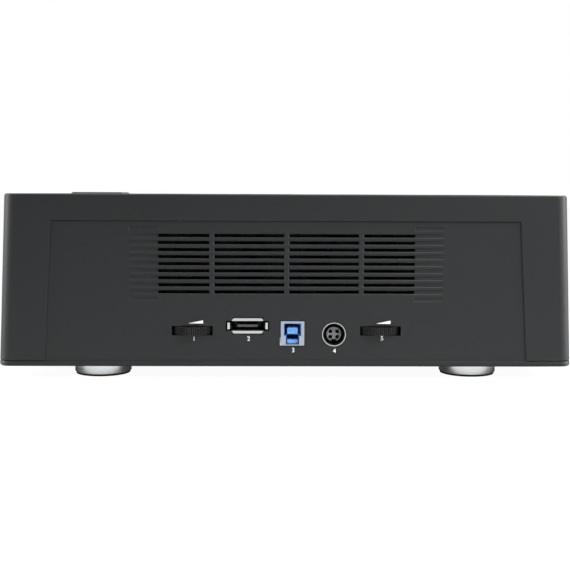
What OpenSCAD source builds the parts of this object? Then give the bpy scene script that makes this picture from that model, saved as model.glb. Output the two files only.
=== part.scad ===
// Hard drive docking station: top-loading drive bays, two rear fans and rear ports.
// Frame: +Z up, origin on the floor under the middle of the body, rear face towards +Y.

/* [Body] */
// Width of the body at the parting line
body_w = 283.5; // [278:0.5:320]
// Depth of the body at the parting line
body_d = 140; // [139:1:170]
// Height of the body above the feet
body_h = 84.5; // [83.5:0.5:100]
// How far each side leans in at the top
side_lean = 3.8; // [0:0.1:5]
// How far the front leans back at the top
front_lean = 3.5; // [0:0.1:4.5]
// Radius of the upright corners
corner_r = 6; // [4.5:0.5:8]
// Thickness of the moulded walls
wall = 2.5; // [2:0.1:3]
// Bevel round the top edge
top_bevel = 0.8; // [0.4:0.1:1.2]
// Bevel on both sides of the seam between the shell and the tray
seam_bevel = 0.4; // [0.2:0.1:0.6]
// Radius of the corner columns that take the case screws
column_r = 4; // [3:0.1:4.5]
// Distance from the body's sides and ends to the corner columns
column_inset = 14; // [12.5:0.1:14.5]

/* [Base tray] */
// Thickness of the base tray
base_t = 2.7; // [2.5:0.1:4]
// Bevel under the edge of the base tray
base_bevel = 0.7; // [0.4:0.1:1.8]
// Height of the locating lip inside the walls
lip_h = 6; // [3:0.5:10]
// Thickness of the locating lip
lip_t = 1.5; // [1:0.1:2]
// Air slots under each bay
intake_slots = 3; // [1:1:3]
// Width of an air slot
intake_w = 3.5; // [2:0.1:5]
// Length of an air slot
intake_l = 50; // [20:1:56]

/* [Feet] */
// Height of a foot
foot_h = 6; // [5:0.5:10]
// Radius of a foot
foot_r = 14.2; // [10:0.1:16]
// Height of the rubber that shows under a foot
foot_rubber = 0.7; // [0.4:0.1:1.2]
// Distance from a foot to the body's side
foot_inset_x = 48.75; // [40:0.25:60]
// Distance from a foot to the body's front or rear
foot_inset_y = 19; // [18:0.5:28]

/* [Rear panel] */
// How far the rear panel lies behind the rear face
panel_inset = 0.5; // [0:0.1:1]
// Gap round the rear panel
panel_gap = 0.1; // [0.1:0.05:0.5]
// Distance from the panel's foot to the body's side
panel_margin = 23.25; // [20:0.25:30]
// How far each edge of the panel leans in at its top
panel_lean = 4.3; // [0:0.1:8]
// Distance from the panel's top edge to the top of the body
panel_drop = 13.1; // [10:0.1:16]
// Thickness of the flange behind the panel
flange_t = 2; // [1.5:0.1:2.5]
// How far the flange reaches behind the walls
flange_over = 5; // [3:0.1:6]

/* [Vent] */
// Rows of air slots
vent_rows = 9; // [5:1:9]
// How much less than a fan's side the rows of slots span
vent_short = 22.4; // [22:0.1:28]
// Height of a slot
vent_slot = 1.5; // [1:0.05:1.8]
// How far the vent's middle lies under the fans' axis
vent_drop = 1.9; // [0:0.1:3]
// Half the width of the slotted field
vent_half = 62.8; // [60:0.1:68]
// Place of the outer posts, from the middle
vent_post_x = 36.6; // [30:0.1:42]
// Width of a post
vent_post_w = 2.4; // [1.5:0.1:4]
// How far the grooves run on past the slots
vent_fade = 14.1; // [8:0.1:20]
// Depth of the chamfered grooves that the slots lie in
vent_edge = 0.4; // [0.2:0.05:0.45]
// Depth of the blind grooves above and below the slots
vent_blind = 0.25; // [0.1:0.05:0.4]

/* [Drive bays] */
// Distance from the first bay's middle to the body's side
bay_inset_left = 39.75; // [37:0.25:42]
// Distance from the last bay's middle to the body's other side
bay_inset_right = 75.75; // [72:0.25:78]
// Inside width of a bay
bay_w = 32.5; // [32.4:0.1:33.5]
// Distance from the body's front to the inside of a bay
bay_front_room = 15; // [13:0.1:16]
// Distance from the bay chutes to the fans, room for the fans' leads
bay_rear_room = 4.8; // [4.2:0.1:6]
// Wall of a bay chute
chute_t = 1.6; // [1.2:0.1:1.8]
// Height of the chute's ear boss under the roof
ear_drop = 4; // [3:0.1:6]
// Thickness of a dust door
door_t = 2; // [1.5:0.1:2.2]
// Running clearance round a dust door
door_gap = 0.3; // [0.2:0.05:0.4]
// Clearance at a dust door's free edge, which swings down
door_swing = 0.55; // [0.45:0.05:0.8]
// How far the door's stop reaches under the roof
door_lap = 1.2; // [0.9:0.1:1.5]
// Radius of the door's hinge pin
pin_r = 0.75; // [0.6:0.05:0.8]
// Radius of the door's hinge barrel
barrel_r = 1.3; // [1.2:0.05:1.4]

/* [Door springs] */
// Turns of a door spring
spring_turns = 6; // [3:1:8]
// Distance between turns
spring_pitch = 1.5; // [0.9:0.05:1.6]
// Wire diameter of a door spring
spring_wire = 0.35; // [0.25:0.05:0.4]
// Mean radius of a door spring
spring_r = 1.05; // [1:0.05:1.1]

/* [Circuit board] */
// Height of the board's underside above the parting line
board_rise = 21.5; // [21.5:0.1:23]
// Thickness of the board
board_t = 1.6; // [1:0.1:2]
// Radius of the board's posts
post_r = 3.5; // [2.5:0.1:4]
// Distance from the front posts to the board's front edge
post_inset_front = 15; // [8:0.1:20]
// Distance from the rear posts to the board's rear edge, clear of the ports
post_inset_rear = 19.9; // [19:0.1:24]

/* [Drive sockets] */
// Width of a drive socket
socket_w = 7; // [6:0.1:8]
// Length of a drive socket
socket_l = 43; // [42:0.1:45]
// Height of a drive socket
socket_h = 8.6; // [7:0.1:10]
// Depth of the socket's cavities
socket_deep = 5.5; // [4:0.1:6]
// Distance between contacts
contact_pitch = 1.27; // [1.2:0.01:1.27]
// Offset of the socket from the bay's middle, front to back
socket_off_y = 20.7; // [18:0.1:24]
// Distance from the bay's far wall to the socket's middle
socket_wall = 4.5; // [4.2:0.1:6]

/* [Fans] */
// Room above the fans, under the roof
fan_head = 4.5; // [3:0.1:8]
// Depth of a fan frame
fan_t = 10; // [8:0.1:10]
// Distance from a fan's screw holes to its edges
fan_edge = 5; // [4.5:0.1:5.5]
// Distance between the two fans
fan_gap = 14; // [4:0.5:20]
// Wall left at the sides of a fan's bore
fan_rim = 1.5; // [1:0.1:2.5]
// Radius of a fan's hub
fan_hub_r = 11; // [9:0.1:13]
// Blades of a fan
fan_blades = 7; // [5:1:9]

/* [Speed wheels] */
// Radius of a speed wheel
wheel_r = 11; // [10:0.1:12]
// Thickness of a speed wheel
wheel_t = 4.1; // [3:0.1:4.5]
// Ribs round a speed wheel
wheel_ribs = 64; // [40:1:80]
// How far a wheel stands out of the panel
wheel_out = 2.3; // [1:0.1:3]
// Place of each wheel, from the body's middle
wheel_x = 46.3; // [45:0.1:50]
// Height of the wheels above the parting line
wheel_rise = 15; // [13:0.1:15.5]
// Width of a wheel's slot
wheel_slot_w = 20.1; // [19:0.1:22]
// Clearance above and below a wheel in its slot
wheel_gap = 0.3; // [0.2:0.05:0.6]

/* [Square data port] */
// Place of the port, from the body's middle
square_x = -3; // [-4:0.1:-1]
// Height of the port's middle above the parting line
square_rise = 13.75; // [12:0.05:14.5]
// Width of the port's face
square_w = 11.6; // [11:0.1:12.5]
// Height of the port's face
square_h = 12; // [11.5:0.1:13]
// Depth of the port's shell
square_d = 16; // [14:0.5:18]
// Width of the port's opening
square_open_w = 8.45; // [8:0.05:9]
// Height of the port's opening
square_open_h = 10.4; // [10:0.1:11]
// How far the opening lies under the middle of the face
square_drop = 0.3; // [0:0.05:0.5]
// Width of the opening's narrow foot
square_foot_w = 6.5; // [6:0.1:7]
// Height of the opening's narrow foot
square_foot_h = 4.3; // [4:0.1:4.5]

/* [Flat data port] */
// Place of the port, from the body's middle
flat_x = 19.1; // [18:0.1:20]
// Height of the port's middle above the parting line
flat_rise = 17.4; // [16:0.05:17.5]
// Width of the port's flared mouth
flat_w = 20.6; // [19:0.1:21]
// Height of the port's flared mouth
flat_h = 7.7; // [7.2:0.1:8]
// Width of the mouth's upper and lower lips
flat_lip_w = 14.5; // [14:0.1:16]
// Height of the mouth's side lips
flat_lip_h = 4.2; // [3.5:0.1:5]
// Width of the port's opening
flat_open_w = 13.4; // [12.5:0.1:13.4]
// Height of the port's opening
flat_open_h = 5; // [4.6:0.1:5]
// Depth of the port's shell
flat_d = 15; // [13:0.5:17]

/* [Power inlet] */
// Place of the inlet, from the body's middle
inlet_x = -23.4; // [-25:0.1:-22]
// Height of the inlet above the parting line
inlet_rise = 13.25; // [12:0.05:14]
// Radius of the inlet's metal ring
inlet_r = 5.85; // [5.5:0.05:6.2]
// Radius inside the metal ring
inlet_bore_r = 5; // [4.6:0.05:5]
// Radius of the insulating core
inlet_core_r = 3.6; // [3.3:0.05:3.9]
// Side of the inlet's housing
inlet_side = 14; // [13:0.1:15]
// Depth of the inlet's housing
inlet_d = 14; // [12:0.1:15]

/* [Control pad] */
// Side of the raised pad
pad_side = 30; // [28:0.5:36]
// Height of the pad above the roof
pad_rise = 0.8; // [0.5:0.1:1.5]
// Distance from the pad's middle to the body's side
pad_inset_x = 32.75; // [31:0.25:36]
// Distance from the pad's middle to the body's front
pad_inset_y = 27; // [25:0.5:40]
// Radius of the power button
button_r = 8; // [6:0.1:8.5]
// Travel of the power button
button_travel = 0.8; // [0.4:0.1:1.2]
// How far the button lies under the pad's face
button_sunk = 0.2; // [0:0.1:0.4]

/* [Indicators] */
// Radius of an indicator's light pipe
pipe_r = 1.5; // [1:0.1:1.6]
// Distance between a bay's two indicators
pipe_pitch = 8; // [6:0.5:12]

/* [Hidden] */

$fn = 64;
hull_fn = 32;
BAYS = [0, 1, 2, 3];
SIDES = [-1, 1];

// Clearances of a running fit and of a loose one, the reach of a cut past a face, and a hull's skin
fit = 0.05;
loose = 0.3;
over = 1;
skin = 0.02;

// Screws: shank, hole through the clamped piece, boss, head, and the depth of thread in a boss
screw_r = 1.2;
pilot_r = screw_r + fit;
pass_r = 1.6;
boss_r = 3.2;
head_r = 2.8;
head_h = 1.6;
drive_w = 0.7;
drive_deep = 0.9;
bite = 6;
bite_room = bite + over;

// Heights of the main levels
part_z = foot_h + base_t;
top_z = foot_h + body_h;
roof_z = top_z - wall;
board_z = part_z + board_rise;
board_top = board_z + board_t;

// Outline of the body at a height, with the whole part's box centred front to back
mid_y = -(wheel_out - panel_inset) / 2;
rear_y = mid_y + body_d / 2;
front_low = mid_y - body_d / 2;
function lean_at(z) = (z - part_z) / (top_z - part_z);
function half_w(z) = body_w / 2 - side_lean * lean_at(z);
function front_y(z) = front_low + front_lean * lean_at(z);

// Rear panel: its face, the back of its plate and the back of its flange
face_y = rear_y - panel_inset;
plate_y = rear_y - wall - panel_gap;
flange_y = plate_y - flange_t;
panel_top = top_z - panel_drop;
panel_h = panel_top - part_z;
panel_low = part_z + fit;
function panel_half(z) = body_w / 2 - panel_margin - panel_lean * (z - part_z) / panel_h;

// Fans, between the board and the roof, on the flange
fan_lift = 1.7;
fan_low = board_top + fan_lift;
fan_size = roof_z - fan_head - fan_low;
fan_holes = fan_size - 2 * fan_edge;
fan_x = (fan_size + fan_gap) / 2;
fan_z = fan_low + fan_size / 2;
fan_y = flange_y - fan_t;
fan_bore_r = fan_size / 2 - fan_rim;
fan_arm = 2.5;
fan_arm_w = 3;
shaft_r = 1;
shaft_end = 0.6;
vent_pitch = (fan_size - vent_short) / (vent_rows - 1);
vent_z = fan_z - vent_drop;

// Drive bays, spread across the body and ending ahead of the fans
last_bay = len(BAYS) - 1;
bay_pitch = (body_w - bay_inset_left - bay_inset_right) / last_bay;
function bay_x(i) = bay_inset_left - body_w / 2 + i * bay_pitch;
function bay_left(i) = bay_x(i) - bay_w / 2;
function bay_right(i) = bay_x(i) + bay_w / 2;
bay_front = front_low + bay_front_room;
bay_rear = fan_y - bay_rear_room - chute_t;
bay_y = (bay_front + bay_rear) / 2;
chute_lift = 1.4;
chute_z = board_top + chute_lift;
chute_floor = 1.8;
ear_w = 9;
ear_l = 10;
ear_t = 2.5;
ear_z = roof_z - ear_drop - ear_t;
ear_gap = 2;
function ear_place(i, side) = [bay_x(i) + side * (bay_w / 2 + chute_t + ear_w / 2),
                               bay_y + side * (ear_l + ear_gap) / 2];

// Dust doors and their hinges
door_sunk = 0.2;
door_top = top_z - door_sunk;
door_low = door_top - door_t;
roof_gap = 0.1;
hinge_z = roof_z - barrel_r - roof_gap;
barrel_gap = 0.2;
function hinge_x(i) = bay_left(i) + barrel_r + barrel_gap;
spring_room = spring_turns * spring_pitch + 2.5;
spring_steps = 8;
spring_sides = 6;

// Drive sockets: a short row of data contacts, a key wall and a long row of power contacts
cavity_w = 2.6;
cavity_end = 0.6;
data_count = 7;
power_count = 15;
key_wall = 2.4;
function socket_x(i) = bay_right(i) - socket_wall;
socket_y = bay_y + socket_off_y;
socket_top = board_top + socket_h;
data_y = socket_y - ((data_count + power_count) * contact_pitch + key_wall) / 2;
power_y = data_y + data_count * contact_pitch + key_wall;
contact_rows = [[data_y, data_count], [power_y, power_count]];

// Main board outline, and its posts between the bays
board_rear = flange_y - loose;
board_front_gap = 10;
board_front = front_low + board_front_gap;
board_left = bay_left(0);
board_side = 14;
board_right = bay_right(last_bay) + chute_t + board_side;
post_front = board_front + post_inset_front;
post_rear = board_rear - post_inset_rear;
GAPS = [0:last_bay - 1];
function gap_x(i) = bay_x(i) + bay_pitch / 2;
post_places = [for (i = GAPS, y = [post_front, post_rear]) [gap_x(i), y]];

// Places at the corners: the feet and the screw columns
function corner_places(inset_x, inset_y) = [for (sx = SIDES, sy = SIDES)
    [sx * (body_w / 2 - inset_x), mid_y + sy * (body_d / 2 - inset_y)]];
foot_places = corner_places(foot_inset_x, foot_inset_y);
column_places = corner_places(column_inset, column_inset);
foot_boss_h = 8;
foot_recess = 1.2;
foot_band = 3;
foot_well_r = head_r + 1;

// Control pad, with the button board hanging under it
pad_x = body_w / 2 - pad_inset_x;
pad_y = front_low + pad_inset_y;
pad_top = top_z + pad_rise;
pad_edge = 1;
sleeve_t = 1;
sleeve_bore = button_r + 0.2;
sleeve_r = sleeve_bore + sleeve_t;
sleeve_low = roof_z - 4;
button_flange = 1.2;
button_low = sleeve_low - fit - button_flange;
stem_r = 2;
stem_low = button_low - 2;
switch_side = 6;
switch_body = 3.5;
plunger_r = 1.7;
plunger_h = 0.8;
key_board_top = stem_low - button_travel - fit - switch_body - plunger_h;
key_board_half = 13;
key_post = 10;
key_post_places = [[pad_x + key_post, pad_y + key_post], [pad_x - key_post, pad_y - key_post]];
lens_off = 11;
lens_place = [pad_x + lens_off, pad_y - lens_off];

// Headers on the board and the leads that end in them
header_w = 6;
header_d = 3.6;
header_h = 6;
lead_r = 0.6;
lead_steps = 12;
lead_sides = 8;
fan_header_places = [for (s = SIDES) [s * fan_x, fan_y - fit - header_d / 2]];
button_header_place = [board_right - header_w, pad_y];

// Speed wheels and their controls
wheel_z = part_z + wheel_rise;
wheel_y = face_y + wheel_out - wheel_r;
wheel_rib = 0.35;
wheel_collar_r = 3;
stub_r = 1.45;
stub_in = 1.6;
control_half = 6;
control_gap = 0.8;
control_low = wheel_z + wheel_t / 2 + control_gap;

// Ports: heights, the gap round each, and how far each stands out of the panel
port_gap = 0.35;
port_out = 0.2;
square_z = part_z + square_rise;
square_front = face_y + port_out;
square_back = square_front - square_d;
square_open_low = square_z - square_drop - square_open_h / 2;
square_lining = 0.5;
square_recess = 0.8;
lining_recess = 3;
contact_recess = 5;
tongue_half = 2.6;
upper_tongue_z = square_open_low + square_foot_h + 2.4;
upper_tongue_half = 1.6;
lower_tongue_z = square_open_low + 1.35;
lower_tongue_half = 0.95;
flat_z = part_z + flat_rise;
flat_front = face_y + port_out;
flat_back = flat_front - flat_d;
flat_wall = 0.5;
flat_lip_t = 0.6;
flat_tongue_half = 4.9;
flat_tongue_t = 1.2;
port_leg = 1;
inlet_z = part_z + inlet_rise;
inlet_front = plate_y - loose;
inlet_back = inlet_front - inlet_d;
inlet_seat = inlet_back + 6;
inlet_hole_r = 0.95;
inlet_holes = [for (dx = SIDES, dz = SIDES) [inlet_x + dx * 1.7, inlet_z + dz * 1.35]];

// Indicators on the front
pipe_z = board_top + pipe_r + 2 * fit;
pipe_places = [for (i = BAYS, s = SIDES) bay_x(i) + s * pipe_pitch / 2];

module block(low, high) {
    translate(low) cube(high - low);
}

// A plate standing across the depth: points are [x, z], from y0 to y1
module upright(points, y0, y1) {
    translate([0, y1, 0]) rotate([90, 0, 0]) linear_extrude(y1 - y0) polygon(points);
}

// A round bar along Y
module bar_y(x, z, r, y0, y1) {
    translate([x, y1, z]) rotate([90, 0, 0]) cylinder(r = r, h = y1 - y0);
}

// A round bar along Z
module bar_z(place, r, z0, z1) {
    translate([place[0], place[1], z0]) cylinder(r = r, h = z1 - z0);
}

// Pan-head screw, its head's seat at the origin and its shank along +Z
module screw(length) {
    root = (head_h - drive_deep) / 2;
    translate([0, 0, -root]) cylinder(r = screw_r, h = length + root);
    difference() {
        translate([0, 0, -head_h]) cylinder(r = head_r, h = head_h);
        for (a = [0, 90])
            rotate(a)
                block([-pass_r, -drive_w / 2, -head_h - over], [pass_r, drive_w / 2, drive_deep - head_h]);
    }
}

// Pan-head screw along Z, pointing up or down from its seat
module screw_z(place, z, length, down = false) {
    translate([place[0], place[1], z]) rotate([down ? 180 : 0, 0, 0]) screw(length);
}

// Four corner discs of the body's outline at height z, drawn in by inset, above or below z
module corner_discs(z, inset, below = false) {
    for (sx = SIDES, y = [front_y(z) + corner_r, rear_y - corner_r])
        translate([sx * (half_w(z) - corner_r), y, below ? z - skin : z])
            cylinder(r = corner_r - inset, h = skin, $fn = hull_fn);
}

// A tube swept along points, closed at both ends
module swept_tube(points, r, sides) {
    last = len(points) - 1;
    function unit(v) = v / norm(v);
    function along(i) = unit(points[min(i + 1, last)] - points[max(i - 1, 0)]);
    function across(t) = unit(cross(t, [0, 1, skin]));
    function spoke(t, a) = cos(a) * across(t) + sin(a) * cross(t, across(t));
    rings = [for (i = [0:last], k = [0:sides - 1]) points[i] + r * spoke(along(i), 360 * k / sides)];
    walls = [for (i = [0:last - 1], k = [0:sides - 1])
        let (a = i * sides + k, b = i * sides + (k + 1) % sides)
            each [[a + sides, b, a], [a + sides, b + sides, b]]];
    far = last * sides;
    ends = [for (k = [1:sides - 2]) each [[k, k + 1, 0], [far + k + 1, far + k, far]]];
    polyhedron(points = rings, faces = concat(walls, ends), convexity = 10);
}

// Outline of the rear panel from a height up, grown at the sides and the top
function panel_outline(side, top, low) = [
    [-panel_half(low) - side, low], [panel_half(low) + side, low],
    [panel_half(panel_top) + side, panel_top + top], [-panel_half(panel_top) - side, panel_top + top]
];

// Outer cover: roof, front and sides in one moulding, with the bay slots in its roof
module top_shell() {
    color("#35383a") difference() {
        union() {
            difference() {
                hull() {
                    corner_discs(part_z, seam_bevel);
                    corner_discs(part_z + seam_bevel, 0);
                    corner_discs(top_z - top_bevel, 0);
                    corner_discs(top_z, top_bevel, true);
                }
                hull() {
                    corner_discs(part_z - over, wall);
                    corner_discs(roof_z, wall, true);
                }
            }
            for (p = column_places) bar_z(p, column_r, part_z, roof_z + over);
            for (p = key_post_places) bar_z(p, boss_r, key_board_top, roof_z + over);
            for (i = BAYS, s = SIDES) bar_z(ear_place(i, s), boss_r, roof_z - ear_drop, roof_z + over);
        }
        for (i = BAYS)
            block([bay_left(i), bay_front, roof_z - over],
                  [bay_right(i) - door_lap, bay_rear, top_z + over]);
        upright(panel_outline(panel_gap, panel_gap, part_z - over), plate_y - over, rear_y + over);
        for (p = column_places) bar_z(p, pilot_r, part_z - over, part_z + base_t + bite_room);
        for (p = key_post_places) bar_z(p, pilot_r, key_board_top - over, key_board_top + bite_room);
        for (i = BAYS, s = SIDES)
            bar_z(ear_place(i, s), pilot_r, roof_z - ear_drop - over, roof_z + wall / 2);
        bar_z([pad_x, pad_y], sleeve_r + fit, roof_z - over, top_z + over);
        bar_z(lens_place, pipe_r + fit, roof_z - over, top_z + over);
        for (x = pipe_places)
            bar_y(x, pipe_z, pipe_r + fit, front_low - over, front_y(pipe_z) + wall + over);
    }
}

// Base tray: floor with a bevelled edge, a locating lip, a rib behind the panel, posts and air slots
module base_tray() {
    lip_in = wall + loose;
    lip_cut = panel_half(part_z) + flange_over + over;
    rib_y = flange_y - loose;
    intake_pitch = 9;
    color("#2f3234") difference() {
        union() {
            hull() {
                corner_discs(foot_h, base_bevel);
                corner_discs(foot_h + base_bevel, 0);
                corner_discs(part_z - seam_bevel, 0);
                corner_discs(part_z, seam_bevel, true);
            }
            difference() {
                hull() {
                    corner_discs(part_z - over, lip_in);
                    corner_discs(part_z + lip_h, lip_in, true);
                }
                hull() {
                    corner_discs(part_z - over, lip_in + lip_t);
                    corner_discs(part_z + lip_h + over, lip_in + lip_t);
                }
                block([-lip_cut, 0, part_z], [lip_cut, rear_y, part_z + lip_h + over]);
            }
            block([-panel_half(part_z), rib_y - lip_t, part_z - over],
                  [panel_half(part_z), rib_y, part_z + lip_h / 2]);
            for (p = post_places) bar_z(p, post_r, part_z - over, board_z);
            for (p = foot_places) bar_z(p, boss_r + over, part_z - over, part_z + foot_boss_h);
        }
        for (p = post_places) bar_z(p, pilot_r, board_z - bite_room, board_z + over);
        for (p = foot_places) bar_z(p, pilot_r, foot_h - over, part_z + foot_boss_h + over);
        for (p = column_places) {
            bar_z(p, pass_r, foot_h - over, part_z + over);
            bar_z(p, head_r + loose, foot_h - over, foot_h + head_h);
        }
        for (i = BAYS, k = [0:intake_slots - 1])
            let (x = bay_x(i) + (k - (intake_slots - 1) / 2) * intake_pitch)
                block([x - intake_w / 2, bay_y - intake_l / 2, foot_h - over],
                      [x + intake_w / 2, bay_y + intake_l / 2, part_z + over]);
    }
}

// A rectangular opening through the panel's plate, round a middle in x and z
module panel_opening(x, z, w, h) {
    block([x - w / 2, plate_y - over, z - h / 2], [x + w / 2, face_y + over, z + h / 2]);
}

// Openings in the panel for the two data ports, the power inlet and the speed wheels
module port_openings() {
    round_gap = 2 * port_gap;
    panel_opening(square_x, square_z, square_w + round_gap, square_h + round_gap);
    panel_opening(flat_x, flat_z, flat_w + round_gap, flat_lip_h + round_gap);
    panel_opening(flat_x, flat_z, flat_lip_w + round_gap, flat_h + round_gap);
    bar_y(inlet_x, inlet_z, inlet_r + port_gap, plate_y - over, face_y + over);
    for (s = SIDES) panel_opening(s * wheel_x, wheel_z, wheel_slot_w, wheel_t + 2 * wheel_gap);
}

// A blind groove in the panel's face, its floor as high as a slot and its four sides at 45 degrees
module chamfered_groove(x0, x1, z, deep) {
    low = vent_slot / 2;
    function ring(y, out) = [
        [x0 - out, y, z - low - out], [x1 + out, y, z - low - out],
        [x1 + out, y, z + low + out], [x0 - out, y, z + low + out]
    ];
    polyhedron(
        points = concat(ring(face_y - deep, 0), ring(face_y + over, deep + over)),
        faces = [[3, 2, 1, 0], [4, 5, 6, 7], [0, 1, 5, 4], [1, 2, 6, 5], [2, 3, 7, 6], [3, 0, 4, 7]]
    );
}

// Rear panel: a plate with leaning sides, the vent and the ports, and a flange behind the walls
module rear_panel() {
    vent_half_h = (vent_rows - 1) / 2 * vent_pitch + vent_slot / 2;
    end_x = vent_half + vent_fade - vent_edge;
    posts = [-vent_half, -vent_post_x, 0, vent_post_x, vent_half];
    last_post = len(posts) - 1;
    function post_in(k) = k == 0 || k == last_post ? 0 : vent_post_w / 2;
    function slot_from(k) = posts[k] + post_in(k);
    function slot_to(k) = posts[k + 1] - post_in(k + 1);
    window_edge = 0.6;
    port_x = wheel_x + wheel_r + 2;
    port_low = part_z + lip_h / 2 + over;
    flange_top = max(panel_top, fan_z + fan_holes / 2) + flange_over;
    color("#313436") difference() {
        union() {
            upright(panel_outline(0, 0, panel_low), plate_y - flange_t / 2, face_y);
            upright(panel_outline(flange_over, flange_top - panel_top, panel_low), flange_y, plate_y);
        }
        for (run = [[-end_x, -vent_half], [vent_half, end_x]], s = SIDES)
            chamfered_groove(run[0], run[1], vent_z + s * (vent_rows + 1) / 2 * vent_pitch, vent_blind);
        for (row = [0:vent_rows - 1], k = [0:last_post - 1])
            let (z = vent_z + (row - (vent_rows - 1) / 2) * vent_pitch) {
                chamfered_groove(k == 0 ? -end_x : slot_from(k), k == last_post - 1 ? end_x : slot_to(k),
                                 z, vent_edge);
                block([slot_from(k), plate_y - over, z - vent_slot / 2],
                      [slot_to(k), face_y, z + vent_slot / 2]);
            }
        block([-vent_half - over, flange_y - over, vent_z - vent_half_h - window_edge],
              [vent_half + over, plate_y, vent_z + vent_half_h + window_edge]);
        block([-port_x, flange_y - over, port_low], [port_x, plate_y, board_top + window_edge]);
        port_openings();
        for (s = SIDES, dx = SIDES, dz = SIDES)
            bar_y(s * fan_x + dx * fan_holes / 2, fan_z + dz * fan_holes / 2, pilot_r,
                  flange_y - over, plate_y + panel_gap);
    }
}

// Turned aluminium feet, each with a recess for its rubber and a well for its screw
module foot_rings() {
    bevel = 0.5;
    color("#d9dcde") for (p = foot_places) difference() {
        union() {
            bar_z(p, foot_r, foot_rubber + bevel, foot_h);
            translate([p[0], p[1], foot_rubber]) cylinder(r1 = foot_r - bevel, r2 = foot_r, h = bevel);
        }
        bar_z(p, foot_r - foot_band, foot_rubber - over, foot_rubber + foot_recess);
        bar_z(p, foot_well_r, foot_rubber - over, foot_rubber + foot_recess + head_h);
        bar_z(p, pass_r, 0, foot_h + over);
    }
}

// Rubber pads under the feet
module foot_rubbers() {
    inset = 0.6;
    color("#1b1b1c") for (p = foot_places) difference() {
        union() {
            bar_z(p, foot_r - inset, 0, foot_rubber);
            bar_z(p, foot_r - foot_band - fit, 0, foot_rubber + foot_recess);
        }
        bar_z(p, foot_well_r, -over, foot_rubber + foot_recess + over);
    }
}

// Foot screws, up into the base tray's bosses
module foot_screws() {
    seat = foot_rubber + foot_recess + head_h;
    color("silver") for (p = foot_places) screw_z(p, seat, part_z + bite - seat);
}

// Case screws, up through the base tray into the corner columns
module case_screws() {
    color("silver") for (p = column_places) screw_z(p, foot_h + head_h, base_t + bite - head_h);
}

// One bay's chute: four walls, a floor round the drive socket, two ears and the hinge holes
module bay_chute(i) {
    x0 = bay_left(i) - chute_t;
    x1 = bay_right(i) + chute_t;
    y0 = bay_front - chute_t;
    y1 = bay_rear + chute_t;
    ear_root = chute_t / 2;
    room_x = socket_w / 2 + loose;
    room_y = socket_l / 2 + loose;
    color("#1f2122") difference() {
        union() {
            difference() {
                block([x0, y0, chute_z], [x1, y1, roof_z]);
                block([bay_left(i), bay_front, chute_z + chute_floor],
                      [bay_right(i), bay_rear, roof_z + over]);
            }
            for (s = SIDES)
                translate([ear_place(i, s)[0] - s * ear_root / 2, ear_place(i, s)[1], ear_z])
                    block([-(ear_w + ear_root) / 2, -ear_l / 2, 0],
                          [(ear_w + ear_root) / 2, ear_l / 2, ear_t]);
        }
        for (s = SIDES) bar_z(ear_place(i, s), pass_r, ear_z - over, ear_z + ear_t + over);
        block([socket_x(i) - room_x, socket_y - room_y, chute_z - over],
              [socket_x(i) + room_x, socket_y + room_y, chute_z + chute_floor + over]);
        bar_y(hinge_x(i), hinge_z, pin_r + skin, y0 - over, y1 + over);
    }
}

// One bay's dust door: a plate with a stop under the roof and a hinge barrel in two lengths
module bay_door(i) {
    x0 = bay_left(i) + door_gap;
    x1 = bay_right(i) - door_lap - door_swing;
    y0 = bay_front + door_gap;
    y1 = bay_rear - door_gap;
    root = door_low + door_t / 2;
    stop_top = roof_z - roof_gap;
    stop_low = stop_top - 0.9;
    stop_x = x1 - 3;
    stop_end = 10;
    web = 0.8;
    mark_w = 11;
    mark_l = 72;
    mark_edge = 3;
    mark_end = 4;
    mark_x = x1 - mark_edge - mark_w;
    mark_y = y1 - mark_end - mark_l;
    mark_line = 0.8;
    mark_deep = 0.4;
    color("#26282a") difference() {
        union() {
            block([x0, y0, door_low], [x1, y1, door_top]);
            block([stop_x, y0, stop_low], [x1, y1, root]);
            block([stop_x, y0 + stop_end, stop_low], [bay_right(i) - door_gap, y1 - stop_end, stop_top]);
            for (run = [[y0, bay_y - spring_room / 2], [bay_y + spring_room / 2, y1]]) {
                bar_y(hinge_x(i), hinge_z, barrel_r, run[0], run[1]);
                block([hinge_x(i) - web, run[0], hinge_z], [hinge_x(i) + web, run[1], root]);
            }
        }
        bar_y(hinge_x(i), hinge_z, pin_r + fit, y0 - over, y1 + over);
        // Shallow outline of the smaller drive size
        difference() {
            translate([mark_x, mark_y, door_top - mark_deep]) cube([mark_w, mark_l, mark_deep + over]);
            translate([mark_x + mark_line, mark_y + mark_line, door_low])
                cube([mark_w - 2 * mark_line, mark_l - 2 * mark_line, door_t + 2 * over]);
        }
    }
}

module door_pins() {
    color("silver") for (i = BAYS)
        bar_y(hinge_x(i), hinge_z, pin_r, bay_front - chute_t, bay_rear + chute_t);
}

// Coil springs on the hinge pins, between the two lengths of barrel
spring_count = spring_turns * spring_steps;
function spring_line(i) = [for (k = [0:spring_count])
    let (a = 360 * k / spring_steps, y = (k / spring_count - 0.5) * spring_turns * spring_pitch)
        [hinge_x(i) + spring_r * cos(a), bay_y + y, hinge_z + spring_r * sin(a)]];
spring_gap = min([for (a = [0:spring_count], b = [0:spring_count]) if (b - a >= spring_steps / 2)
    norm(spring_line(0)[b] - spring_line(0)[a])]) - spring_wire;
echo("least gap between a spring's turns", spring_gap);

module door_springs() {
    color("silver") for (i = BAYS) swept_tube(spring_line(i), spring_wire / 2, spring_sides);
}

module chute_screws() {
    color("silver") for (i = BAYS, s = SIDES) screw_z(ear_place(i, s), ear_z, ear_t + ear_drop);
}

// Main circuit board, on the tray's posts
module main_board() {
    color("#1d4a33") difference() {
        block([board_left, board_front, board_z], [board_right, board_rear, board_top]);
        for (p = post_places) bar_z(p, pass_r, board_z - over, board_top + over);
    }
}

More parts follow.
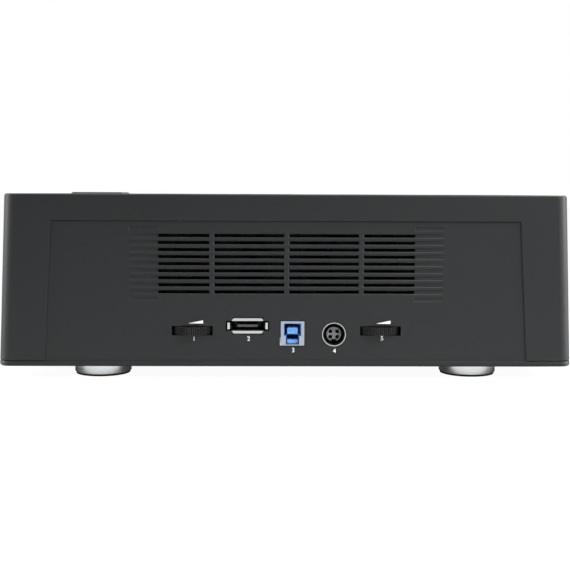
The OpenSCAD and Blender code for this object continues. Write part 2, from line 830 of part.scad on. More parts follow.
module board_screws() {
    color("silver") for (p = post_places) screw_z(p, board_top, board_t + bite, true);
}

// Controller chips between the bays
module board_chips() {
    sides = [14, 12, 16];
    chip_t = chute_lift - loose;
    chip_in = 20;
    chip_y = post_rear - chip_in;
    color("#151617") for (i = GAPS)
        translate([gap_x(i) - sides[i] / 2, chip_y - sides[i] / 2, board_top])
            cube([sides[i], sides[i], chip_t]);
}

module board_capacitors() {
    can_r = 4;
    can_h = 11;
    color("#2b2f45") for (i = GAPS, step = [18, 28])
        bar_z([gap_x(i), post_front + step], can_r, board_top, board_top + can_h);
}

module board_coils() {
    coil = [10, 8, 4.5];
    coil_in = 5;
    color("#3a3a3a") for (i = GAPS)
        translate([gap_x(i) - coil[0] / 2, post_front + coil_in, board_top]) cube(coil);
}

// Headers for the fans' leads and the button's lead
module board_headers() {
    color("#e6e2d6") for (p = concat(fan_header_places, [button_header_place]))
        translate([p[0] - header_w / 2, p[1] - header_d / 2, board_top])
            cube([header_w, header_d, header_h]);
}

// One bay's drive socket, with its short data cavity and its long power cavity
module drive_socket(i) {
    color("#141515") difference() {
        block([socket_x(i) - socket_w / 2, socket_y - socket_l / 2, board_top],
              [socket_x(i) + socket_w / 2, socket_y + socket_l / 2, socket_top]);
        for (row = contact_rows)
            block([socket_x(i) - cavity_w / 2, row[0] - cavity_end, socket_top - socket_deep],
                  [socket_x(i) + cavity_w / 2, row[0] + row[1] * contact_pitch + cavity_end,
                   socket_top + over]);
    }
}

// Contact blades along one wall of every socket's cavities
module drive_contacts() {
    width = 0.7;
    thick = 0.4;
    sunk = 0.8;
    color("#c9a24a") for (i = BAYS, row = contact_rows, k = [0:row[1] - 1])
        let (y = row[0] + (k + 0.5) * contact_pitch - width / 2)
            translate([socket_x(i) - cavity_w / 2, y, socket_top - socket_deep])
                cube([thick, width, socket_deep - sunk]);
}

// A fan's own frame of reference: its axis along Z from the front face, towards the panel
module at_fan(s) {
    translate([s * fan_x, fan_y, fan_z]) rotate([-90, 0, 0]) children();
}

// Fan frame, with the motor's seat on three arms at its front
module fan_frame(s) {
    color("#17181a") at_fan(s) difference() {
        translate([-fan_size / 2, -fan_size / 2, 0]) cube([fan_size, fan_size, fan_t]);
        translate([0, 0, fan_arm]) cylinder(r = fan_bore_r, h = fan_t);
        difference() {
            translate([0, 0, -over]) cylinder(r = fan_bore_r, h = fan_arm + 2 * over);
            translate([0, 0, -2 * over]) cylinder(r = fan_hub_r, h = fan_arm + 4 * over);
            for (a = [90, 210, 330])
                rotate(a) translate([0, -fan_arm_w / 2, -2 * over])
                    cube([fan_size, fan_arm_w, fan_arm + 4 * over]);
        }
        for (dx = SIDES, dz = SIDES)
            translate([dx * fan_holes / 2, dz * fan_holes / 2, -over])
                cylinder(r = pass_r, h = fan_t + 2 * over);
        translate([0, 0, shaft_end]) cylinder(r = shaft_r + fit, h = fan_t);
    }
}

// Fan rotor: hub, shaft and pitched blades
module fan_rotor(s) {
    low = fan_arm + 0.4;
    high = fan_t - 0.5;
    tip_r = fan_bore_r - 0.6;
    blade_t = 1.2;
    blade_chord = 16;
    blade_angle = 32;
    root = 0.5;
    color("#202224") at_fan(s) union() {
        translate([0, 0, low]) cylinder(r = fan_hub_r, h = high - low);
        translate([0, 0, shaft_end + 0.2]) cylinder(r = shaft_r, h = low);
        intersection() {
            translate([0, 0, low]) cylinder(r = tip_r, h = high - low);
            for (k = [0:fan_blades - 1])
                rotate(360 * k / fan_blades) translate([fan_hub_r - root, 0, (low + high) / 2])
                    rotate([blade_angle, 0, 0])
                        translate([0, -blade_chord / 2, -blade_t / 2])
                            cube([fan_bore_r, blade_chord, blade_t]);
        }
    }
}

module fan_screws() {
    color("silver") for (s = SIDES, dx = SIDES, dz = SIDES)
        at_fan(s) translate([dx * fan_holes / 2, dz * fan_holes / 2, 0])
            screw(fan_t + flange_t + panel_gap / 2);
}

// Fan leads, down the front of each fan's lower arm to its header
module fan_leads() {
    top = fan_z - fan_hub_r + fan_arm;
    color("#2a2a2a") for (s = SIDES)
        bar_z([s * fan_x, fan_y - lead_r - fit], lead_r, board_top + header_h, top);
}

// Ribbed thumb wheel with a collar and a stub that turns in its speed control
module speed_wheel(s) {
    outline = [for (k = [0:2 * wheel_ribs - 1])
        let (a = 180 * (k + 0.5) / wheel_ribs, r = wheel_r - (k % 2) * wheel_rib) r * [cos(a), sin(a)]];
    color("#151617") translate([s * wheel_x, wheel_y, wheel_z]) union() {
        translate([0, 0, -wheel_t / 2]) linear_extrude(wheel_t) polygon(outline);
        cylinder(r = wheel_collar_r, h = wheel_t / 2 + control_gap - loose);
        cylinder(r = stub_r, h = wheel_t / 2 + control_gap + stub_in);
    }
}

// Speed controls under the board, one over each wheel
module speed_controls() {
    color("#3c4a63") for (s = SIDES) translate([s * wheel_x, wheel_y, 0]) difference() {
        block([-control_half, -control_half, control_low], [control_half, control_half, board_z]);
        bar_z([0, 0], stub_r + fit, control_low - over, control_low + stub_in + loose);
    }
}

// Outline of the square port's opening, drawn in: wide above, narrow below
function square_opening(less) = let (
    wide = square_open_w / 2 - less,
    narrow = square_foot_w / 2 - less,
    low = square_open_low + less,
    step = square_open_low + square_foot_h + less,
    high = square_open_low + square_open_h - less
) [[square_x - narrow, low], [square_x + narrow, low], [square_x + narrow, step], [square_x + wide, step],
   [square_x + wide, high], [square_x - wide, high], [square_x - wide, step], [square_x - narrow, step]];

// Two legs of a port's shell, up to the board
module port_legs(x, half, top, y0, length) {
    for (s = SIDES)
        block([x + s * (half - port_leg / 2) - port_leg / 2, y0, top - flat_wall],
              [x + s * (half - port_leg / 2) + port_leg / 2, y0 + length, board_z]);
}

// Folded metal shell of the square data port, on two legs under the board
module square_port_shell() {
    color("#c4ccd6") union() {
        difference() {
            block([square_x - square_w / 2, square_back, square_z - square_h / 2],
                  [square_x + square_w / 2, square_front, square_z + square_h / 2]);
            upright(square_opening(0), square_back + over, square_front + over);
        }
        port_legs(square_x, square_w / 2, square_z + square_h / 2, square_back + 4, 3);
    }
}

// Coloured insulator of the square data port: a lining and two tongues
module square_port_core() {
    back = square_back + over;
    front = square_front - square_recess;
    color("#1f4fa0") union() {
        difference() {
            upright(square_opening(fit), back, square_front - lining_recess);
            upright(square_opening(square_lining), back + 2, front + over);
        }
        for (t = [[upper_tongue_z, upper_tongue_half], [lower_tongue_z, lower_tongue_half]])
            block([square_x - tongue_half, back + over, t[0] - t[1]],
                  [square_x + tongue_half, front, t[0] + t[1]]);
    }
}

// Contact strips on the square port's tongues
module square_port_contacts() {
    front = square_front - contact_recess;
    length = 7;
    thick = 0.2;
    wide = 1;
    narrow = 0.6;
    color("#c9a24a") {
        for (x = [-1.25, 1.25], z = [-upper_tongue_half - thick, upper_tongue_half])
            translate([square_x + x - wide / 2, front - length, upper_tongue_z + z])
                cube([wide, length, thick]);
        for (x = [-2:2])
            translate([square_x + x - narrow / 2, front - length, lower_tongue_z + lower_tongue_half])
                cube([narrow, length, thick]);
    }
}

// Metal shell of the flat data port, with a flared mouth of four lips
module flat_port_shell() {
    tube_w = flat_open_w + 2 * flat_wall;
    tube_h = flat_open_h + 2 * flat_wall;
    module around(w, h, y0, y1) {
        block([flat_x - w / 2, y0, flat_z - h / 2], [flat_x + w / 2, y1, flat_z + h / 2]);
    }
    color("#d5d8da") union() {
        difference() {
            union() {
                around(flat_w, flat_lip_h, flat_front - flat_lip_t, flat_front);
                around(flat_lip_w, flat_h, flat_front - flat_lip_t, flat_front);
                around(tube_w, tube_h, flat_back, flat_front);
            }
            around(flat_open_w, flat_open_h, flat_back + over, flat_front + over);
        }
        port_legs(flat_x, tube_w / 2, flat_z + tube_h / 2, flat_back + 3, 3);
    }
}

// Insulating base and tongue of the flat data port
module flat_port_tongue() {
    back = flat_back + over;
    base_d = 4;
    half_w = flat_open_w / 2 - fit;
    half_h = flat_open_h / 2 - fit;
    color("#161718") union() {
        block([flat_x - half_w, back, flat_z - half_h], [flat_x + half_w, back + base_d, flat_z + half_h]);
        block([flat_x - flat_tongue_half, back + over, flat_z - flat_tongue_t / 2],
              [flat_x + flat_tongue_half, face_y - over, flat_z + flat_tongue_t / 2]);
    }
}

module flat_port_contacts() {
    width = 0.7;
    length = 7;
    thick = 0.15;
    color("#c9a24a") for (k = [-3:3])
        let (x = flat_x + k * contact_pitch - width / 2, z = flat_z - flat_tongue_t / 2 - thick)
            translate([x, face_y - 2 * over - length, z]) cube([width, length, thick]);
}

// Housing of the power inlet, hanging under the board behind the panel
module inlet_housing() {
    color("#18191a") difference() {
        block([inlet_x - inlet_side / 2, inlet_back, inlet_z - inlet_side / 2],
              [inlet_x + inlet_side / 2, inlet_front, board_z]);
        bar_y(inlet_x, inlet_z, inlet_r + fit, inlet_seat, inlet_front + over);
    }
}

module inlet_ring() {
    color("#8d9093") difference() {
        bar_y(inlet_x, inlet_z, inlet_r, inlet_seat, face_y + port_out);
        bar_y(inlet_x, inlet_z, inlet_bore_r, inlet_seat - over, face_y + over);
    }
}

// Insulating core of the power inlet, with four contact holes and a key slot
module inlet_core() {
    front = face_y - 1.4;
    key_half = 1.3;
    key_deep = 1.2;
    floor_y = inlet_seat + over;
    color("#2a2c2d") difference() {
        bar_y(inlet_x, inlet_z, inlet_core_r, inlet_seat, front);
        for (p = inlet_holes) bar_y(p[0], p[1], inlet_hole_r, floor_y, front + over);
        block([inlet_x - key_half, floor_y, inlet_z - inlet_core_r - over],
              [inlet_x + key_half, front + over, inlet_z - inlet_core_r + key_deep]);
    }
}

module inlet_contacts() {
    sleeve_wall = 0.25;
    floor_y = inlet_seat + over;
    color("#c9a24a") for (p = inlet_holes) difference() {
        bar_y(p[0], p[1], inlet_hole_r - fit, floor_y, face_y - contact_recess);
        bar_y(p[0], p[1], inlet_hole_r - fit - sleeve_wall, floor_y + over, face_y);
    }
}

// Raised control pad, with a sleeve through the roof that guides the power button
module control_pad() {
    half = pad_side / 2;
    color("#2a2c2e") difference() {
        union() {
            translate([pad_x, pad_y, 0]) hull() {
                block([-half, -half, top_z], [half, half, top_z + skin]);
                block([pad_edge - half, pad_edge - half, pad_top - skin],
                      [half - pad_edge, half - pad_edge, pad_top]);
            }
            bar_z([pad_x, pad_y], sleeve_r, sleeve_low, top_z + pad_rise / 2);
        }
        bar_z([pad_x, pad_y], sleeve_bore, sleeve_low - over, pad_top + over);
        bar_z(lens_place, pipe_r + fit, top_z - over, pad_top + over);
    }
}

// Power button: a cap with a retaining flange under the sleeve and a stem to the switch
module power_button() {
    color("#3a3d40") union() {
        bar_z([pad_x, pad_y], button_r, button_low, pad_top - button_sunk);
        bar_z([pad_x, pad_y], sleeve_r - loose, button_low, button_low + button_flange);
        bar_z([pad_x, pad_y], stem_r, stem_low, button_low + over);
    }
}

// Push switch on the button board
module power_switch() {
    half = switch_side / 2;
    body_top = key_board_top + switch_body;
    color("#1a1b1c") union() {
        block([pad_x - half, pad_y - half, key_board_top], [pad_x + half, pad_y + half, body_top]);
        bar_z([pad_x, pad_y], plunger_r, body_top - over, body_top + plunger_h);
    }
}

module button_board() {
    color("#1d4a33") difference() {
        block([pad_x - key_board_half, pad_y - key_board_half, key_board_top - board_t],
              [pad_x + key_board_half, pad_y + key_board_half, key_board_top]);
        for (p = key_post_places) bar_z(p, pass_r, key_board_top - board_t - over, key_board_top + over);
    }
}

module button_board_screws() {
    color("silver") for (p = key_post_places) screw_z(p, key_board_top - board_t, board_t + bite);
}

// The button board's lead, swinging over to its header on the main board
module button_lead() {
    from = [pad_x - lens_off, pad_y, key_board_top - board_t];
    to = [button_header_place[0], pad_y, board_top + header_h];
    function ease(t) = t * t * (3 - 2 * t);
    line = [for (k = [0:lead_steps])
        let (t = k / lead_steps, span = to - from) from + [span[0] * ease(t), 0, span[2] * t]];
    color("#2a2a2a") swept_tube(line, lead_r, lead_sides);
}

// Light pipe of the power indicator, from the button board to the pad's face
module power_lens() {
    color("#cfe3f2") bar_z(lens_place, pipe_r, key_board_top, pad_top - button_sunk / 2);
}

// Light pipes of the bay indicators, through the front wall
module light_pipes() {
    color("#cfe3f2") for (x = pipe_places)
        bar_y(x, pipe_z, pipe_r, front_y(pipe_z) - loose, board_front + loose);
}

// Status lights at the board's front edge, behind the light pipes
module status_lights() {
    size = [3, 1.6, 3];
    color("#f2f2e6") for (x = pipe_places)
        translate([x - size[0] / 2, board_front + loose + fit, board_top]) cube(size);
}

top_shell();
base_tray();
rear_panel();
foot_rings();
foot_rubbers();
foot_screws();
case_screws();
bay_chute(0);  // bay_chute_1
bay_chute(1);  // bay_chute_2
bay_chute(2);  // bay_chute_3
bay_chute(3);  // bay_chute_4
bay_door(0);  // bay_door_1
bay_door(1);  // bay_door_2
bay_door(2);  // bay_door_3
bay_door(3);  // bay_door_4
door_pins();
door_springs();
chute_screws();
main_board();
board_screws();
board_chips();
board_capacitors();
board_coils();
board_headers();
drive_socket(0);  // drive_socket_1
drive_socket(1);  // drive_socket_2
drive_socket(2);  // drive_socket_3
drive_socket(3);  // drive_socket_4
drive_contacts();
fan_frame(-1);  // fan_frame_1
fan_frame(1);  // fan_frame_2
fan_rotor(-1);  // fan_rotor_1
fan_rotor(1);  // fan_rotor_2
fan_screws();
fan_leads();
speed_wheel(-1);  // speed_wheel_1
speed_wheel(1);  // speed_wheel_2
speed_controls();
square_port_shell();
square_port_core();
square_port_contacts();
flat_port_shell();
flat_port_tongue();
flat_port_contacts();
inlet_housing();
inlet_ring();
inlet_core();
inlet_contacts();
control_pad();
power_button();
power_switch();
button_board();
button_board_screws();
button_lead();
power_lens();
light_pipes();
status_lights();
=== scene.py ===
import math

import bpy
from mathutils import Matrix, Vector


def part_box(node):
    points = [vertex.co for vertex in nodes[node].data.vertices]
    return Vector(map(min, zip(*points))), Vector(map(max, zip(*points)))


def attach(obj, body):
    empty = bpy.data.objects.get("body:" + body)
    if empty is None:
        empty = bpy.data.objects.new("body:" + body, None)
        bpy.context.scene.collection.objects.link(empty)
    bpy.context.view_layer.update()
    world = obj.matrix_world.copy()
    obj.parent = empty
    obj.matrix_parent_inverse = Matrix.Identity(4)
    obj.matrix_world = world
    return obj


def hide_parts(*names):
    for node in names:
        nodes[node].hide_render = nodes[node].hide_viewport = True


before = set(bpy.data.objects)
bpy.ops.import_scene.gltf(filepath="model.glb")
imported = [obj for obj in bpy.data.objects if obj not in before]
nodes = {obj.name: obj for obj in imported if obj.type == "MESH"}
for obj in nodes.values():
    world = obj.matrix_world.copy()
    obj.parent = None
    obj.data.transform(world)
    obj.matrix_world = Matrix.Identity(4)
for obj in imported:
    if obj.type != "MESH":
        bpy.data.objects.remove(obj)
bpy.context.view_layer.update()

# The camera stands half a metre behind the dock, level with its top, and looks almost square
# at the rear panel, a little downwards, through a short telephoto lens.
camera_data = bpy.data.cameras.new("camera")
camera_data.sensor_width = 36
camera_data.lens = 62.25
camera = bpy.data.objects.new("camera", camera_data)
bpy.context.scene.collection.objects.link(camera)
bpy.context.scene.camera = camera
yaw, pitch, roll = (math.radians(angle) for angle in (0.96, 5.319, 0.244))
forward = Vector((-math.sin(yaw) * math.cos(pitch), -math.cos(yaw) * math.cos(pitch), -math.sin(pitch)))
level = forward.cross(Vector((0, 0, 1))).normalized()
upright = level.cross(forward)
across = math.cos(roll) * level + math.sin(roll) * upright
up = math.cos(roll) * upright - math.sin(roll) * level
camera.matrix_world = (Matrix.Translation((0.008867, 0.5491, 0.091085))
                       @ Matrix((across, up, -forward)).transposed().to_4x4())


# The studio: a white floor that runs into a white surround, so the cut-out look of a
# catalogue picture comes from their colour, and only a trace of shadow shows by the feet.
# Mirrored in metal, the floor's glow is dimmed by an occlusion test where the dock stands over it: a painted
# shadow.
def linear(code):
    """Linear RGBA of an sRGB hex colour."""
    parts = [int(code[i:i + 2], 16) / 255 for i in (1, 3, 5)]
    return tuple(p / 12.92 if p <= 0.04045 else ((p + 0.055) / 1.055) ** 2.4 for p in parts) + (1,)


def add(tree, kind, inputs=None, **settings):
    """Add a node with its settings, its values and its links."""
    node = tree.nodes.new(kind)
    for key, value in settings.items():
        setattr(node, key, value)
    for key, value in (inputs or {}).items():
        if isinstance(value, bpy.types.NodeSocket):
            tree.links.new(value, node.inputs[key])
        else:
            node.inputs[key].default_value = value
    return node


def seen_directly(tree):
    """1 for rays from the camera and for those that mirrors and glass send on, else 0."""
    path = add(tree, "ShaderNodeLightPath")
    seen = add(tree, "ShaderNodeMath", {0: path.outputs["Is Camera Ray"], 1: path.outputs["Is Glossy Ray"]},
               operation="MAXIMUM")
    return add(tree, "ShaderNodeMath", {0: seen.outputs[0], 1: path.outputs["Is Transmission Ray"]},
               operation="MAXIMUM").outputs[0]


bpy.context.scene.view_settings.view_transform = "Standard"
world = bpy.data.worlds.new("surround")
bpy.context.scene.world = world
world.use_nodes = True
sky = world.node_tree
sky.nodes.clear()
dim = add(sky, "ShaderNodeBackground", {"Color": linear("#ffffff"), "Strength": 0.1})
white = add(sky, "ShaderNodeBackground", {"Color": linear("#ffffff"), "Strength": 1.0})
both = add(sky, "ShaderNodeMixShader", {0: seen_directly(sky), 1: dim.outputs[0], 2: white.outputs[0]})
add(sky, "ShaderNodeOutputWorld", {"Surface": both.outputs[0]})

bpy.ops.object.select_all(action="DESELECT")
bpy.ops.mesh.primitive_circle_add(vertices=96, radius=8, fill_type="NGON", location=(0, 0, 0))
floor = bpy.context.object
floor.name = "floor"
floor_paint = bpy.data.materials.new("white_floor_paint")
floor_paint.use_nodes = True
tree = floor_paint.node_tree
tree.nodes.clear()
matt = add(tree, "ShaderNodeBsdfDiffuse", {"Color": linear("#f4f4f4")})
thin = add(tree, "ShaderNodeBsdfDiffuse", {"Color": (0.16, 0.16, 0.16, 1)})
# For every ray but the camera's, an occlusion test dims the floor's glow: painted shadow under the dock.
mirrored_painted_shadow = add(tree, "ShaderNodeAmbientOcclusion", {"Distance": 0.022}, samples=8)
open_floor = add(tree, "ShaderNodeMath", {0: mirrored_painted_shadow.outputs["AO"],
                                          1: add(tree, "ShaderNodeLightPath").outputs["Is Camera Ray"]},
                 operation="MAXIMUM")
strength = add(tree, "ShaderNodeMath", {0: open_floor.outputs[0], 1: 0.955}, operation="MULTIPLY")
glow = add(tree, "ShaderNodeEmission", {"Color": linear("#ffffff"), "Strength": strength.outputs[0]})
bright = add(tree, "ShaderNodeAddShader", {0: thin.outputs[0], 1: glow.outputs[0]})
paint = add(tree, "ShaderNodeMixShader", {0: seen_directly(tree), 1: matt.outputs[0], 2: bright.outputs[0]})
add(tree, "ShaderNodeOutputMaterial", {"Surface": paint.outputs[0]})
floor.data.materials.append(floor_paint)


def softbox(name, place, target, size, watts, spread=180):
    """A softbox that looks at a point. A grid in front of it narrows its spread in degrees."""
    data = bpy.data.lights.new(name, "AREA")
    data.shape = "RECTANGLE"
    data.size, data.size_y = size
    data.energy = watts
    data.spread = math.radians(spread)
    box = bpy.data.objects.new(name, data)
    bpy.context.scene.collection.objects.link(box)
    box.location = place
    box.rotation_euler = (Vector(target) - Vector(place)).to_track_quat("-Z", "Y").to_euler()


softbox("key_softbox", (-0.7, 0.35, 0.75), (-0.1, 0.07, 0.09), (0.3, 0.3), 0.8, 30)
softbox("overhead_softbox", (0, -0.1, 1.5), (0, 0, 0.05), (1.2, 0.8), 7)
softbox("right_strip", (-1.3, 0.1, 0.45), (-0.14, 0.06, 0.05), (0.4, 0.9), 4, 70)
softbox("left_strip", (1.3, 0.1, 0.5), (0.14, 0.06, 0.06), (0.4, 0.9), 4, 70)

# A grey card behind the camera, which only mirrored rays see, takes the white surround's place in
# every glossy face that looks to the rear. Rounded corners and bevels look past it and stay lighter.
bpy.ops.object.select_all(action="DESELECT")
bpy.ops.mesh.primitive_plane_add(size=1, location=(0, 1.2, 0.75), rotation=(math.pi / 2, 0, 0))
card = bpy.context.object
card.name = "grey_card"
card.scale = (1.3, 1.2, 1)
card_paper = bpy.data.materials.new("grey_card_paper")
card_paper.use_nodes = True
tree = card_paper.node_tree
tree.nodes.clear()
glow = add(tree, "ShaderNodeEmission", {"Color": linear("#ffffff"), "Strength": 0.15})
add(tree, "ShaderNodeOutputMaterial", {"Surface": glow.outputs[0]})
card.data.materials.append(card_paper)
card.visible_camera = card.visible_diffuse = card.visible_shadow = card.visible_transmission = False


# The base tray: a flat floor with a bevelled edge, injection moulded in dark grey ABS.
# The tool's sparked steel leaves a fine matt grain all over it.
def moulded(name, code, roughness=0.5, gloss=0.32, grain_mm=0.9, relief=0.12, ior=1.52):
    """A moulded plastic. Its real grain is about 0.2 mm: it is drawn coarser so that it shows."""
    material = bpy.data.materials.new(name)
    material.use_nodes = True
    tree = material.node_tree
    shader = tree.nodes["Principled BSDF"]
    place = add(tree, "ShaderNodeTexCoord").outputs["Object"]
    drift = add(tree, "ShaderNodeTexNoise", {"Vector": place, "Scale": 1 / 0.045, "Detail": 3.0})
    low = tuple(c * 0.93 for c in linear(code)[:3]) + (1,)
    high = tuple(c * 1.07 for c in linear(code)[:3]) + (1,)
    tint = add(tree, "ShaderNodeMix", {"Factor": drift.outputs["Fac"], "A": low, "B": high}, data_type="RGBA")
    grain = add(tree, "ShaderNodeTexNoise", {"Vector": place, "Scale": 1000 / grain_mm, "Detail": 2.0})
    bump = add(tree, "ShaderNodeBump", {"Height": grain.outputs["Fac"], "Strength": relief,
                                        "Distance": grain_mm / 8000})
    sheen = add(tree, "ShaderNodeMapRange", {"Value": grain.outputs["Fac"], "To Min": roughness - 0.06,
                                             "To Max": roughness + 0.06})
    tree.links.new(tint.outputs["Result"], shader.inputs["Base Color"])
    tree.links.new(sheen.outputs["Result"], shader.inputs["Roughness"])
    tree.links.new(bump.outputs["Normal"], shader.inputs["Normal"])
    shader.inputs["IOR"].default_value = ior
    shader.inputs["Specular IOR Level"].default_value = gloss
    return material


def only(piece):
    """Make a piece the one that the operators act on."""
    bpy.ops.object.select_all(action="DESELECT")
    piece.select_set(True)
    bpy.context.view_layer.objects.active = piece


def copied(name, node, material):
    """A node's shape as a mesh of its own, merged, with its flat faces whole again."""
    piece = bpy.data.objects.new(name, nodes[node].data.copy())
    bpy.context.scene.collection.objects.link(piece)
    piece.data.materials.clear()
    piece.data.materials.append(material)
    only(piece)
    bpy.ops.mesh.customdata_custom_splitnormals_clear()
    bpy.ops.object.mode_set(mode="EDIT")
    bpy.ops.mesh.select_all(action="SELECT")
    bpy.ops.mesh.remove_doubles(threshold=1e-6)
    bpy.ops.mesh.dissolve_limited(angle_limit=math.radians(0.2))
    bpy.ops.object.mode_set(mode="OBJECT")
    return piece


def settle(piece, body, slot, *replaced, smooth=50):
    """Shade a finished piece, flat faces first, put it on its body and hide the nodes that it stands for."""
    only(piece)
    bpy.ops.object.shade_smooth_by_angle(angle=math.radians(smooth))
    flat_first = piece.modifiers.new("flat_first", "WEIGHTED_NORMAL")
    flat_first.keep_sharp = True
    bpy.ops.object.modifier_apply(modifier=flat_first.name)
    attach(piece, body)
    if replaced:
        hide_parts(*replaced)


tray_abs = moulded("sparked_abs_tray", "#181a1b")
settle(copied("base_tray_moulding", "base_tray", tray_abs), "case", "tray_plastic", "base_tray")


# Four feet: rings turned from aluminium bar, each on a rubber pad, held up to the tray by a
# screw from below. The tool's fine rings draw the reflections out round each foot.
def round_edges(piece, width_mm, chosen, segments=2):
    """Round the sharp edges whose two ends pass a test of place."""
    only(piece)
    bpy.context.tool_settings.mesh_select_mode = (False, True, False)
    bpy.ops.object.mode_set(mode="EDIT")
    bpy.ops.mesh.select_all(action="DESELECT")
    bpy.ops.mesh.edges_select_sharp(sharpness=math.radians(40))
    bpy.ops.object.mode_set(mode="OBJECT")
    points = piece.data.vertices
    picked = [edge.select and all(chosen(points[i].co) for i in edge.vertices) for edge in piece.data.edges]
    bpy.ops.object.mode_set(mode="EDIT")
    bpy.ops.mesh.select_all(action="DESELECT")
    bpy.ops.object.mode_set(mode="OBJECT")
    for edge, wanted in zip(piece.data.edges, picked):
        edge.select = wanted
    bpy.ops.object.mode_set(mode="EDIT")
    bpy.ops.mesh.bevel(offset=width_mm / 1000, segments=segments, affect="EDGES", clamp_overlap=False,
                       loop_slide=False)
    bpy.ops.object.mode_set(mode="OBJECT")


def dress(material, *names):
    """Give nodes that keep their own shape a finish."""
    for name in names:
        nodes[name].data.materials.clear()
        nodes[name].data.materials.append(material)


def metal(name, code, roughness, lines_mm, pull):
    """Worked metal: fine lines from rolling, drawing or turning, pulled out along one way, streak its
    gloss. Real lines are a few hundredths of a millimetre apart: they are drawn coarser so that they show."""
    material = bpy.data.materials.new(name)
    material.use_nodes = True
    tree = material.node_tree
    shader = tree.nodes["Principled BSDF"]
    place = add(tree, "ShaderNodeTexCoord").outputs["Object"]
    pulled = add(tree, "ShaderNodeVectorMath", {0: place, 1: pull}, operation="MULTIPLY")
    lines = add(tree, "ShaderNodeTexNoise", {"Vector": pulled.outputs[0], "Scale": 1000 / lines_mm,
                                             "Detail": 3.0})
    low = tuple(c * 0.9 for c in linear(code)[:3]) + (1,)
    tint = add(tree, "ShaderNodeMix", {"Factor": lines.outputs["Fac"], "A": low, "B": linear(code)},
               data_type="RGBA")
    sheen = add(tree, "ShaderNodeMapRange", {"Value": lines.outputs["Fac"], "To Min": roughness - 0.08,
                                             "To Max": roughness + 0.08})
    bump = add(tree, "ShaderNodeBump", {"Height": lines.outputs["Fac"], "Strength": 0.1,
                                        "Distance": lines_mm / 6000})
    tree.links.new(tint.outputs["Result"], shader.inputs["Base Color"])
    tree.links.new(sheen.outputs["Result"], shader.inputs["Roughness"])
    tree.links.new(bump.outputs["Normal"], shader.inputs["Normal"])
    shader.inputs["Metallic"].default_value = 1
    return material


foot_base, foot_top = (corner.z for corner in map(Vector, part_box("foot_rings")))
turned_aluminium = metal("turned_aluminium", "#d6d8da", 0.24, 0.5, (0.02, 0.02, 1))
feet = copied("foot_rings_turned", "foot_rings", turned_aluminium)
round_edges(feet, 0.35, lambda p: p.z > foot_top - 1e-5 or p.z < foot_base + 1e-5)
settle(feet, "case", "foot_metal", "foot_rings")
dress(moulded("foot_rubber", "#131313", 0.85, 0.2, 1.5, 0.3), "foot_rubbers")
zinc_plate = metal("zinc_plated_steel", "#b4b8bc", 0.35, 0.6, (1, 1, 0.2))
dress(zinc_plate, "foot_screws")


# The main board: glass-fibre laminate under green solder mask, screwed to the tray's posts.
# The copper under the mask shows as paler lines on a pitch of about 2.5 mm.
solder_mask = moulded("green_solder_mask", "#1b4630", 0.35, 0.5, 0.4, 0.05)
tree = solder_mask.node_tree
place = add(tree, "ShaderNodeTexCoord").outputs["Object"]
copper = add(tree, "ShaderNodeTexBrick", {"Vector": place, "Color1": linear("#1b4630"),
                                          "Color2": linear("#174029"), "Mortar": linear("#2f6a4b"),
                                          "Scale": 1.0, "Mortar Size": 0.00025,
                                          "Brick Width": 0.013, "Row Height": 0.0025})
tree.links.new(copper.outputs["Color"], tree.nodes["Principled BSDF"].inputs["Base Color"])
dress(solder_mask, "main_board", "button_board")
dress(zinc_plate, "board_screws")
dress(moulded("chip_epoxy", "#17181a", 0.55, 0.4, 0.5, 0.15), "board_chips")
dress(metal("capacitor_aluminium", "#aeb2b6", 0.3, 0.5, (0.05, 0.05, 1)), "board_capacitors")
dress(moulded("coil_ferrite", "#2b2c2e", 0.7, 0.3, 0.7, 0.3), "board_coils")
dress(moulded("header_nylon", "#cfc8b4", 0.45, 0.4, 0.6, 0.08), "board_headers")

# Four drive sockets stand on the board, moulded in black glass-filled polyester.
# Their contacts are stamped bronze, gold plated where the drive's own pads touch them.
socket_polyester = moulded("glass_filled_polyester", "#121314", 0.4, 0.4, 0.6, 0.1)
gold_plate = metal("gold_plated_bronze", "#c79f4c", 0.28, 0.4, (1, 1, 0.1))
dress(socket_polyester, *(f"drive_socket_{bay}" for bay in (1, 2, 3, 4)))
dress(gold_plate, "drive_contacts")

# The square data port: a folded steel shell, bright nickel plated, round a blue polyester core
# whose two tongues carry the contacts. The core is one blue: its front faces are painted lighter, as painted
# light, and the rest deeper, as painted shade.
dress(metal("bright_nickel_plate", "#aab5c6", 0.33, 0.5, (1, 0.1, 0.1)), "square_port_shell")
painted_shade_blue = moulded("blue_polyester_painted_shade", "#4a86e0", 0.5, 0.3, 0.6, 0.08)
painted_light_blue = moulded("blue_polyester_painted_light", "#5b93cc", 0.45, 0.3, 0.6, 0.08)
port_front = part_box("square_port_core")[1][1]
core = copied("square_port_core_moulding", "square_port_core", painted_shade_blue)
core.data.materials.append(painted_light_blue)
# Faces that look straight out near the front take the lighter blue, painted light; the rest keep the deeper
# blue, painted shade.
for face in core.data.polygons:
    if face.normal.y > 0.9 and face.center.y > port_front - 0.001:
        face.material_index = 1
settle(core, "case", "port_blue", "square_port_core")
dress(gold_plate, "square_port_contacts", "flat_port_contacts")


